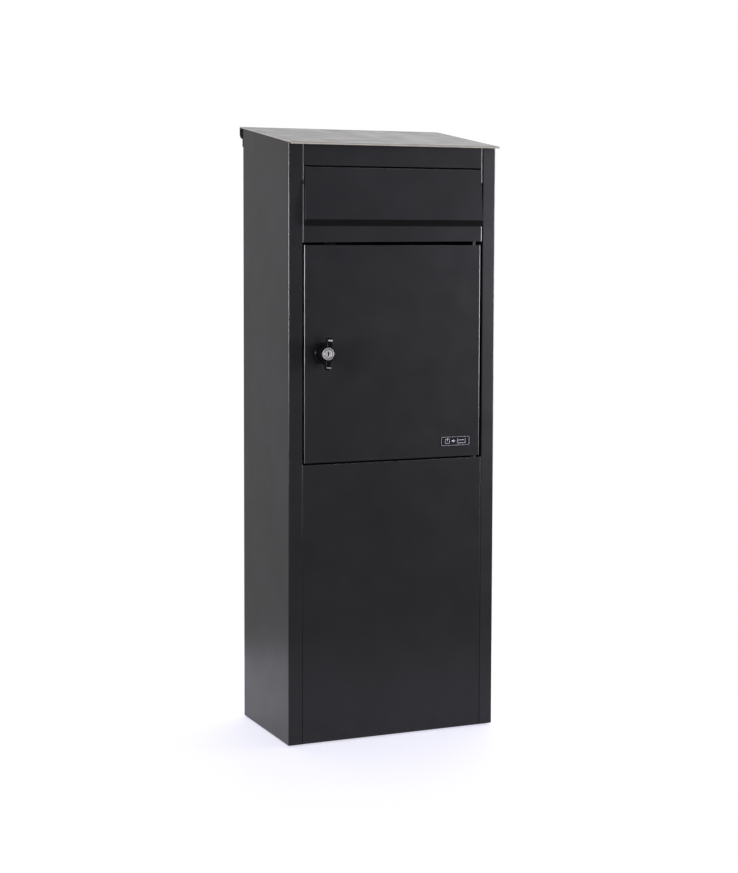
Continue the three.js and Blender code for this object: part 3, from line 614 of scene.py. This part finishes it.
ob = cut(frame_block(0, 0), frame_block(T_SHEET, 2))
meet(ob, under_roof())
lid = prism([(FRONT + 1, roof_under(FRONT + 1) - GAP - T_SHEET), (y1 - 0.01, roof_under(y1) - GAP - T_SHEET), (y1 - 0.01, roof_under(y1) - GAP - 0.01), (FRONT + 1, roof_under(FRONT + 1) - GAP - 0.01)],
            -INSERT + 0.7, INSERT - 0.7, "X")
join(ob, lid)
cut(ob, block(-WINDOW_HALF_W, WINDOW_HALF_W, FRONT - 1, y1 + 3, WINDOW_Z0, WINDOW_Z1))
join(ob, block(-INSERT + 0.6, INSERT - 0.6, FRONT + 0.9, FRONT + 15, WINDOW_Z0 - T_SHEET, WINDOW_Z0 + 0.002),
     block(-INSERT + 0.6, INSERT - 0.6, FRONT + 0.9, FRONT + 12, WINDOW_Z1 - 0.002, WINDOW_Z1 + T_SHEET))
for s in (-1, 1):
    xa, xb = sorted((s * (WINDOW_HALF_W - 1), s * (INSERT + 1)))
    cut(ob, block(xa, xb, FRONT - 1, FRONT + 2.6, 936, 942), rod((PIVOT_Y, PIVOT_Z), "X", s * 165 - 3, s * 165 + 3, 2.8, n=32))
cut(ob, rod((HINGE_X, HINGE_Y), "Z", 835, 850, 2.9, n=32))
tidy(ob)
piece(ob, "front_frame_sheet", "front_frame", "housing", "body_paint", bevel=0.25)

# lower front panel
ob = pan(-INSERT, INSERT, SIDE_Z0, PLINTH_TOP, FRONT, PANEL_DEPTH, T_SHEET, 1.8, 1.6)
cut(ob, rod((HINGE_X, HINGE_Y), "Z", 465, 480, 2.9, n=32))
tidy(ob)
piece(ob, "plinth_front_sheet", "lower_front_panel", "housing", "body_paint", bevel=0.25)

# door
ob = pan(-DOOR_HALF_W, DOOR_HALF_W, DOOR_Z0, DOOR_Z1, FRONT, DOOR_DEPTH, T_SHEET, 3.0, 1.6)
cut(ob, rod((LOCK_X, LOCK_Z), "Y", FRONT - 2, FRONT + 4, 11.1, n=64),
    rod((HINGE_X, HINGE_Y), "Z", DOOR_Z1 - 4, DOOR_Z1 + 2, 4.1, n=32),
    rod((HINGE_X, HINGE_Y), "Z", DOOR_Z0 - 2, DOOR_Z0 + 4, 4.1, n=32))
tidy(ob)
# the door's return flanges, seen through the gaps, are painted dark as shade in the gaps
piece(ob, "door_sheet", "door_panel", "door", "body_paint", bevel=0.25,
      patch=(GAP_SHADE_PAINT, lambda x, y, z: y > FRONT + 1.6 and (abs(x) > DOOR_HALF_W - 0.15 or z > DOOR_Z1 - 0.1 or z < DOOR_Z0 + 0.1)))

# ------------------------------------------------------------------ strike, pins
path = [(-169.5, -106), (-169.5, -86.2), (-158, -86.2)]
ob = prism(folded(path, T_SIDE, 1.9, -1), 637, 677, "Z")
for z in (645, 669):
    cut(ob, rod((-98, z), "X", -172, -166, 1.9, n=24))
tidy(ob)
round_edges(ob, lambda a, b: abs(a.x - b.x) < 0.3 + T_SIDE and abs(a.z - b.z) < 0.01 and abs(a.y - b.y) < 0.01 and a.y < -105 and abs(a.x - b.x) > 1, 2.5, 5)
piece(ob, "strike_bracket", "strike_plate", "housing", "zinc_steel", bevel=0.2)
for label, z in (("lower", 645), ("upper", 669)):
    prof = [(0, -171), (2.4, -171), (2.6, -170.8), (2.6, -169.9), (2.5, -169.8), (1.6, -169.8), (1.6, -165.9), (3.2, -165.9), (3.15, -165.6), (2.8, -165.2), (2.1, -164.9), (1.1, -164.8), (0, -164.8)]
    piece(lathe(prof, (-98, z), "X", n=40), f"strike_fixing_{label}", f"strike_rivet_{label}", "housing", "zinc_steel", bevel=0, edge=False)

zf = RAIL_Z_RIGHT + T_SHEET + GAP
prof = [(0, 828), (1.9, 828), (2.5, 828.7), (2.5, zf), (4.8, zf), (5.0, zf + 0.2), (5.0, zf + 0.8), (4.6, zf + 1.6), (3.6, zf + 2), (0, zf + 2)]
piece(lathe(prof, (HINGE_X, HINGE_Y), "Z", n=48), "hinge_stud_upper", "hinge_pin_upper", "housing", "zinc_steel", bevel=0, edge=False, look=(DARK_STEEL, DARK_STEEL))
zl = PLINTH_TOP - T_SHEET - GAP
prof = [(0, zl - 2), (3.6, zl - 2), (4.6, zl - 1.6), (5.0, zl - 0.8), (5.0, zl - 0.2), (4.8, zl), (2.5, zl), (2.5, 481.3), (1.9, 482), (0, 482)]
piece(lathe(prof, (HINGE_X, HINGE_Y), "Z", n=48), "hinge_stud_lower", "hinge_pin_lower", "housing", "zinc_steel", bevel=0, edge=False, look=(DARK_STEEL, DARK_STEEL))
za, zb, zc = 833.2, DOOR_Z1 - T_SHEET - GAP, DOOR_Z1 + 0.3
prof = [(2.9, za), (5.0, za), (5.2, za + 0.25), (5.2, zb), (3.8, zb), (3.8, zc - 0.3), (3.5, zc), (3.1, zc), (2.9, zc - 0.25)]
piece(lathe(prof, (HINGE_X, HINGE_Y), "Z", n=48), "hinge_bush_upper", "door_bush_upper", "door", "nylon", bevel=0, edge=False)
za, zb, zc = PLINTH_TOP + GAP, DOOR_Z0 - GAP, DOOR_Z0 + 2.6
prof = [(2.9, za), (5.0, za), (5.2, za + 0.25), (5.2, zb), (3.8, zb), (3.8, zc - 0.3), (3.5, zc), (3.1, zc), (2.9, zc - 0.25)]
piece(lathe(prof, (HINGE_X, HINGE_Y), "Z", n=48), "hinge_bush_lower", "door_bush_lower", "door", "nylon", bevel=0, edge=False)

for s in (-1, 1):
    side = "left" if s < 0 else "right"
    prof = [(0, s * 158.9), (2.6, s * 158.9), (3.6, s * 159.1), (4.2, s * 159.6), (4.2, s * 160.6), (4.0, s * 160.8), (2.5, s * 160.8), (2.5, s * 165.5), (2.2, s * 165.8), (0, s * 165.8)]
    piece(lathe(prof, (PIVOT_Y, PIVOT_Z), "X", n=48), f"flap_pin_{side}", f"flap_pivot_{side}", "housing", "zinc_steel", bevel=0, edge=False)
    prof = [(0, FRONT - GAP), (2.2, FRONT - GAP), (2.2, FRONT - 0.8), (2.05, FRONT - 1.3), (1.7, FRONT - 1.65), (1.1, FRONT - 1.8), (0, FRONT - 1.8)]
    piece(lathe(prof, (s * 140, 872.4), "Y", n=48), f"flap_buffer_{side}", f"flap_bumper_{side}", "housing", "rubber", bevel=0, edge=False)


def rail_at(x):
    return RAIL_Z_LEFT + (RAIL_Z_RIGHT - RAIL_Z_LEFT) * (x + INSERT) / (2 * INSERT)


for label, a, b in (("upper", 831.5, rail_at(-120) - GAP), ("lower", PLINTH_TOP + GAP, 480.5)):
    ob = prism(rounded([(-120, a), (-100, a), (-100, b), (-120, b)], [1.6] * 4, 6), -93.7, -90.4, "Y")
    piece(ob, f"door_buffer_{label}", f"door_stop_{label}", "housing", "rubber", bevel=0.6, segments=4)

# ------------------------------------------------------------------------- flap
side_view = [(-98, FLAP_TOP), (FRONT, FLAP_TOP), (FRONT - FLAP_PROUD, FLAP_BEND_Z), (FRONT - FLAP_PROUD + 1.3, 876.9), (-98.5, 876.9), (-96.5, 880), (-96.5, 955)]
outer = prism(rounded(side_view, [2, 1.7, 1.4, 0, 2, 2, 4], 8), -FLAP_HALF_W, FLAP_HALF_W, "X")
round_edges(outer, lambda a, b: abs(a.x - b.x) < 0.01 and abs(abs(a.x) - FLAP_HALF_W) < 0.01 and max(a.y, b.y) < FRONT + 0.4 and abs(a.z - b.z) > 60, 2.2, 8)
drop_y = FLAP_PROUD / (FLAP_TOP - FLAP_BEND_Z)
inner_side = [(-90, FLAP_TOP - T_SHEET), (FRONT + T_SHEET + 0.05, FLAP_TOP - T_SHEET), (FRONT - FLAP_PROUD + T_SHEET + 0.05 - drop_y * 9, FLAP_BEND_Z - 9), (-90, FLAP_BEND_Z - 9)]
cut(outer, prism(rounded(inner_side, [0, 0.5, 0, 0], 4), -FLAP_HALF_W + T_SHEET, FLAP_HALF_W - T_SHEET, "X"))
cut(outer, block(-FLAP_HALF_W + T_SHEET - 0.01, FLAP_HALF_W - T_SHEET + 0.01, FRONT + 8, -80, 870, 980))
tip = (FRONT - 2.8, 867.9)
lip_path = [(FRONT - FLAP_PROUD + drop_y * 4, FLAP_BEND_Z + 4), (FRONT - FLAP_PROUD, FLAP_BEND_Z), tip]
strip = prism(folded(lip_path, T_SHEET, 1.7, 1), -LIP_HALF_W, LIP_HALF_W, "X")
cut(strip, block(-LIP_HALF_W - 1, -FLAP_HALF_W + 1.3, -140, -90, 876.6, 890), block(FLAP_HALF_W - 1.3, LIP_HALF_W + 1, -140, -90, 876.6, 890))
bead = lathe([(0, -LIP_HALF_W), (1.0, -LIP_HALF_W), (1.4, -LIP_HALF_W + 0.4), (1.4, LIP_HALF_W - 0.4), (1.0, LIP_HALF_W), (0, LIP_HALF_W)], (tip[0] + 0.35, tip[1] + 0.9), "X", n=24)
ob = join(outer, strip, bead)
for s in (-1, 1):
    cut(ob, rod((PIVOT_Y, PIVOT_Z), "X", s * 162 - 3, s * 162 + 3, 2.8, n=32))
tidy(ob)
# the lip faces below the flap's bend are painted dark as shade
piece(ob, "flap_sheet", "flap_panel", "flap", "body_paint", bevel=0.2,
      patch=(LIP_SHADE_PAINT, lambda x, y, z: z < FLAP_BEND_Z - 0.6))

# ------------------------------------------------------------------------- lock
face = FRONT - GAP
prof = [(7.4, -90), (10.5, -90), (10.8, -90.4), (10.8, face), (17.1, face), (17.5, face - 0.4), (17.5, face - 2.6), (17.42, face - 3.0), (17.15, face - 3.4), (15.6, face - 5.3),
        (15.3, face - 5.55), (14.9, face - 5.7), (8.2, face - 5.7), (7.6, face - 5.3), (7.4, face - 4.8)]
ob = lathe(prof, (LOCK_X, LOCK_Z), "Y", n=96)
piece(ob, "lock_rose", "lock_housing", "door", "lock_black", bevel=0, edge=False)

back = -116.3
prof = [(2.8, -86), (6.7, -86), (7.0, -86.4), (7.0, back), (12.7, back), (13.2, back - 0.5), (13.2, LOCK_FACE + 1.3), (13.1, LOCK_FACE + 0.7), (12.85, LOCK_FACE + 0.25), (12.4, LOCK_FACE),
        (11.3, LOCK_FACE), (10.95, LOCK_FACE + 0.2), (10.8, LOCK_FACE + 0.6), (10.8, LOCK_FACE + 11), (2.8, LOCK_FACE + 11)]
ob = lathe(prof, (LOCK_X, LOCK_Z), "Y", n=96)
turn = Matrix.Rotation(math.radians(WING_CLOCK), 4, "Y")
centre = Vector((LOCK_X * MM, 0, LOCK_Z * MM))
for s in (-1, 1):
    arm = prism(rounded([(-4.7, s * 11.4), (-4.7, s * WING_R), (4.7, s * WING_R), (4.7, s * 11.4)] if s > 0 else [(-4.7, s * WING_R), (-4.7, s * 11.4), (4.7, s * 11.4), (4.7, s * WING_R)],
                        [0, 2.6, 2.6, 0] if s > 0 else [2.6, 0, 0, 2.6], 8), -137.4, -129, "Y")
    round_edges(arm, lambda a, b: abs(a.y + 137.4) < 0.01 and abs(b.y + 137.4) < 0.01, 1.3, 6)
    round_edges(arm, lambda a, b: abs(a.y + 129) < 0.01 and abs(b.y + 129) < 0.01, 0.6, 3)
    web = prism([(-4.7, s * 11.9), (-4.7, s * 19), (4.7, s * 19), (4.7, s * 11.9)], -131.5, -121, "Y")
    zc = s * 22.5             # a raised grip bar whose face looks a little upward
    bar = prism([(-136.2, zc - 1.4), (-138.6, zc - 1.2), (-137.7, zc + 1.0), (-136.2, zc + 1.3)], -4.1, 4.1, "X")
    for part in (arm, web, bar):
        # drawn at the origin in mm of the cabinet, then clocked and taken to the spindle
        part.data.transform(Matrix.Translation(centre) @ turn)
        ob = join(ob, part)
cut(ob, rod((LOCK_X, LOCK_Z), "Y", LOCK_FACE - 4, LOCK_FACE + 11, 10.8, n=96))
tidy(ob)
piece(ob, "lock_wings", "wing_knob", "knob", "lock_black", bevel=0.2, segments=2, angle=38,
      patch=(LOCK_GLOSS, lambda x, y, z: y < -137.95 and 21.5 < abs(z - LOCK_Z) < 23.5 and abs(x - LOCK_X) < 3))

prof = [(7.3, LOCK_FACE + 10.7), (10.5, LOCK_FACE + 10.7), (10.5, LOCK_FACE + 0.1), (10.42, LOCK_FACE - 0.15), (10.2, LOCK_FACE - 0.32), (9.9, LOCK_FACE - 0.4), (9.15, LOCK_FACE - 0.4),
        (8.95, LOCK_FACE - 0.33), (8.8, LOCK_FACE - 0.1), (8.7, LOCK_FACE + 0.15), (7.7, LOCK_FACE + 0.3), (7.45, LOCK_FACE + 0.4), (7.3, LOCK_FACE + 0.6)]
ob = lathe(prof, (LOCK_X, LOCK_Z), "Y", n=96)
piece(ob, "lock_shell", "cylinder_shell", "knob", "lock_face", bevel=0, edge=False, look=(LOCK_RIM_M, LOCK_RIM_M))

prof = [(0, LOCK_FACE + 10.5), (7.0, LOCK_FACE + 10.5), (7.0, LOCK_FACE + 0.2), (6.9, LOCK_FACE - 0.1), (6.6, LOCK_FACE - 0.32), (6.1, LOCK_FACE - 0.42), (0, LOCK_FACE - 0.42)]
ob = lathe(prof, (LOCK_X, LOCK_Z), "Y", n=96)
key = rounded([(LOCK_X - 1, LOCK_Z - 4), (LOCK_X + 1, LOCK_Z - 4), (LOCK_X + 1, LOCK_Z + 4), (LOCK_X - 1, LOCK_Z + 4)], [0.6, 0.6, 0.6, 0.6], 5)
cut(ob, prism(key, LOCK_FACE - 2, LOCK_FACE + 6, "Y"))
cut(ob, block(LOCK_X + 0.9, LOCK_X + 1.9, LOCK_FACE - 2, LOCK_FACE + 6, LOCK_Z - 0.4, LOCK_Z + 1.4))
tidy(ob)
piece(ob, "lock_core", "lock_plug", "plug", "lock_face", bevel=0.12, segments=2, angle=40)

prof = [(0, -96), (2.2, -96), (2.5, -95.6), (2.5, -82.9), (4.2, -82.9), (4.2, -82.6), (0, -82.6)]
ob = lathe(prof, (LOCK_X, LOCK_Z), "Y", n=48)
hexa = lathe([(0, -82.8), (4.4, -82.8), (4.6, -82.5), (4.6, -80.4), (4.1, -79.75), (0, -79.75)], (LOCK_X, LOCK_Z), "Y", n=6)
ob = tidy(join(ob, hexa))
piece(ob, "cam_fixing", "cam_screw", "knob", "zinc_steel", bevel=0.12, segments=2, angle=32)

hexa = [(LOCK_X + 15.6 * math.cos(i * math.pi / 3), LOCK_Z + 15.6 * math.sin(i * math.pi / 3)) for i in range(6)]
y0 = FRONT + T_SHEET + GAP
ob = cut(prism(hexa, y0, y0 + 5, "Y"), rod((LOCK_X, LOCK_Z), "Y", y0 - 1, y0 + 6, 11.1, n=64))
piece(tidy(ob), "lock_ring_nut", "lock_nut", "door", "zinc_steel", bevel=0.5, segments=3, angle=32)

cam = rounded([(LOCK_X - 9, LOCK_Z - 40), (LOCK_X + 9, LOCK_Z - 40), (LOCK_X + 9, LOCK_Z + 9), (LOCK_X - 9, LOCK_Z + 9)], [5, 5, 6, 6], 10)
ob = cut(prism(cam, -85.7, -83.2, "Y"), rod((LOCK_X, LOCK_Z), "Y", -87, -82, 2.8, n=32))
piece(tidy(ob), "lock_tongue", "lock_cam", "knob", "zinc_steel", bevel=0.3, segments=3, angle=32)

# ------------------------------------------------------------------------ badge
x0, x1, z0, z1 = 88.3, 142.3, 493.2, 509.0


def plate(inset, r):
    return rounded([(x0 + inset, z0 + inset), (x1 - inset, z0 + inset), (x1 - inset, z1 - inset), (x0 + inset, z1 - inset)], [r] * 4, 8)


ob = prism(plate(0, 2.6), FRONT - 0.95, FRONT - GAP, "Y")
piece(ob, "badge_base", "badge_plate", "door", "badge", bevel=0.25, segments=3, look=(BADGE, BADGE))
ring = cut(prism(plate(0.5, 2.1), FRONT - 1.1, FRONT - 0.94, "Y"), prism(plate(1.0, 1.7), FRONT - 2, FRONT, "Y"))
piece(tidy(ring), "badge_outline", None, "door", "badge", bevel=0.05, segments=2, look=(SILVER, SILVER))


def bar2(xa, xb, za_, zb_):
    return prism([(xa, za_), (xb, za_), (xb, zb_), (xa, zb_)], FRONT - 1.1, FRONT - 0.94, "Y")


# a plain parcel with its tape, and a tray with an arrow into it
sym = cut(prism([(96, 497), (104.6, 497), (104.6, 505.2), (96, 505.2)], FRONT - 1.1, FRONT - 0.94, "Y"), prism([(96.7, 497.7), (103.9, 497.7), (103.9, 504.5), (96.7, 504.5)], FRONT - 2, FRONT, "Y"))
join(sym, bar2(99.6, 101.0, 501.2, 504.6))
piece(tidy(sym), "badge_parcel", None, "door", "badge", bevel=0.04, segments=1, look=(SILVER, SILVER))
arrow = prism([(108.6, 502.3), (111.4, 502.3), (111.4, 504.0), (114.8, 501.1), (111.4, 498.2), (111.4, 499.9), (108.6, 499.9)], FRONT - 1.1, FRONT - 0.94, "Y")
piece(arrow, "badge_arrow", None, "door", "badge", bevel=0.04, segments=1, look=(SILVER, SILVER))
tray = prism([(119, 505.2), (119, 497), (134.6, 497), (134.6, 505.2), (133.7, 505.2), (133.7, 497.9), (119.9, 497.9), (119.9, 505.2)], FRONT - 1.1, FRONT - 0.94, "Y")
piece(tray, "badge_tray", None, "door", "badge", bevel=0.04, segments=1, look=(SILVER, SILVER))
slotbar = bar2(121.6, 132.0, 501.9, 503.1)
piece(slotbar, "badge_slot", None, "door", "badge", bevel=0.04, segments=1, look=(SILVER, SILVER))

# --------------------------------------------------- frame shapes that are kept
KEPT = ["base_plate", "roof_bracket_left", "roof_bracket_right", "compartment_floor", "drop_chute", "door_stiffener", "flap_stiffener"]
for name in KEPT:
    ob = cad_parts[name]
    look = SLOT_LOOKS["inner_paint"]
    for p in ob.data.polygons:
        p.material_index = 0
    ob.data.materials.clear()
    for m in look:
        ob.data.materials.append(m)
    weld = ob.modifiers.new("weld", "WELD")
    weld.merge_threshold = 1e-6
    b = ob.modifiers.new("edges", "BEVEL")
    b.width = 0.25 * MM
    b.segments = 2
    b.limit_method = "ANGLE"
    b.angle_limit = math.radians(38)
    b.material = 1
    w = ob.modifiers.new("normals", "WEIGHTED_NORMAL")
    w.keep_sharp = False
    w.weight = 80
    for p in ob.data.polygons:
        p.use_smooth = True

# ------------------------------------------------------------- floor and lights
def flat_material(name, colour, rough):
    m, nt, b, tc = node_material(name)
    b.inputs["Base Color"].default_value = (*colour, 1)
    b.inputs["Roughness"].default_value = rough
    b.inputs["Specular IOR Level"].default_value = 0.2
    return m


me = bpy.data.meshes.new("studio_floor")
N = 96
R0 = 0.7
me.from_pydata([(R0 * math.cos(2 * math.pi * i / N), R0 * math.sin(2 * math.pi * i / N), -0.0004) for i in range(N)], [], [list(range(N))])
floor = bpy.data.objects.new("studio_floor", me)
scene.collection.objects.link(floor)
pale = flat_material("pale_floor", (0.80, 0.80, 0.80), 0.6)
pale.node_tree.nodes["Principled BSDF"].inputs["Emission Color"].default_value = (0.99, 0.99, 1.12, 1)
pale.node_tree.nodes["Principled BSDF"].inputs["Emission Strength"].default_value = 0.65
me.materials.append(pale)

world = bpy.data.worlds.new("studio")
scene.world = world
world.use_nodes = True
nt = world.node_tree
nt.nodes.clear()
out = nt.nodes.new("ShaderNodeOutputWorld")
seen = nt.nodes.new("ShaderNodeBackground")
seen.inputs[0].default_value = (1, 1, 1, 1)
seen.inputs[1].default_value = 1.0
room = nt.nodes.new("ShaderNodeBackground")
tc = nt.nodes.new("ShaderNodeTexCoord")
sep = nt.nodes.new("ShaderNodeSeparateXYZ")
nt.links.new(tc.outputs["Generated"], sep.inputs[0])
# the room is a little dimmer on the side the front faces
level = remap(nt, sep.outputs["Y"], -0.75, 0.75, 0.41, 0.92)
level = maths(nt, "MULTIPLY", level, remap(nt, sep.outputs["X"], -0.7, 0.4, 0.60, 1.0))
# and brighter, from a window, toward the front face's right
level = maths(nt, "MULTIPLY", level, remap(nt, sep.outputs["X"], 0.28, 0.56, 0.93, 1.48))
low = maths(nt, "MULTIPLY", remap(nt, sep.outputs["Z"], -0.22, 0.02, 0.22, 0.0), remap(nt, sep.outputs["Y"], 0.0, 0.5, 0.0, 1.0))
high = maths(nt, "MULTIPLY", remap(nt, sep.outputs["Z"], 0.04, 0.22, 0.0, 0.24), remap(nt, sep.outputs["Y"], -0.5, 0.0, 1.0, 0.0))
level = maths(nt, "MULTIPLY", level, maths(nt, "SUBTRACT", maths(nt, "SUBTRACT", 1.0, low), high))
front = mix(nt, remap(nt, sep.outputs["Z"], -0.16, -0.04, 0, 1), (1.06, 0.99, 0.90), (0.955, 0.935, 1.07))
tint = mix(nt, remap(nt, sep.outputs["Y"], -0.5, 0.6, 0, 1), front, (1.0, 0.98, 0.985))
nt.links.new(tint, room.inputs[0])
nt.links.new(level, room.inputs[1])
lp = nt.nodes.new("ShaderNodeLightPath")
mx = nt.nodes.new("ShaderNodeMixShader")
nt.links.new(lp.outputs["Is Camera Ray"], mx.inputs[0])
nt.links.new(room.outputs[0], mx.inputs[1])
nt.links.new(seen.outputs[0], mx.inputs[2])
nt.links.new(mx.outputs[0], out.inputs[0])


def softbox(name, at, target, size, power, colour=(1, 1, 1)):
    d = bpy.data.lights.new(name, "AREA")
    d.shape = "RECTANGLE"
    d.size, d.size_y = size
    d.energy = power
    d.color = colour
    ob = bpy.data.objects.new(name, d)
    scene.collection.objects.link(ob)
    ob.location = at
    ob.rotation_euler = (Vector(target) - Vector(at)).to_track_quat("-Z", "Y").to_euler()
    ob.visible_camera = False
    return ob


unlit = bpy.data.collections.new("softboxes_skip")
unlit.objects.link(floor)
unlit.collection_objects[0].light_linking.link_state = "EXCLUDE"
for ob in (
    softbox("softbox_left", (-2.05, -0.85, 0.85), (-0.1, -0.1, 0.84), (0.4, 0.58), 136, (0.94, 0.92, 1.0)),
    softbox("softbox_right", (2.0, -0.85, 0.75), (0.1, -0.1, 0.74), (0.5, 0.62), 116, (0.94, 0.92, 1.0)),
    softbox("softbox_rear", (1.35, 3.1, 2.0), (0, 0, 1.0), (2.2, 0.9), 5),
    softbox("softbox_key", (2.05, -2.2, 1.1), (0, 0, 0.8), (1.3, 1.6), 9, (0.93, 0.90, 1.0)),
    softbox("strip", (1.2, -2.1, 2.4), (-0.1, 0, 0.75), (0.5, 0.30), 13),
):
    ob.light_linking.receiver_collection = unlit

# ----------------------------------------------------------------------- camera
cam_data = bpy.data.cameras.new("camera")
cam = bpy.data.objects.new("camera", cam_data)
scene.collection.objects.link(cam)
FOCAL_PX, CX, CY = 1846.45, 369.0, 370.0
cam_data.sensor_width = 36
cam_data.lens = FOCAL_PX * 36 / 873
cam_data.shift_x = -(CX - 369.0) / 873
cam_data.shift_y = (CY - 436.5) / 873
right = Vector((0.9167063688672731, -0.3995523105286299, 0.0027174306637604536))
down = Vector((-0.02632549693755908, -0.06718293743250289, -0.9973933131563149))
ahead = Vector((0.39869336775167147, 0.9142452647234076, -0.07210543975080302))
rot = Matrix((right, -down, -ahead)).transposed()
cam.matrix_world = Matrix.Translation(Vector((-1278.19, -2935.82 + SH, 849.91)) * MM) @ rot.to_4x4()
cam_data.clip_start, cam_data.clip_end = 0.05, 60
scene.camera = cam
scene.view_settings.view_transform = "Standard"
scene.view_settings.look = "None"
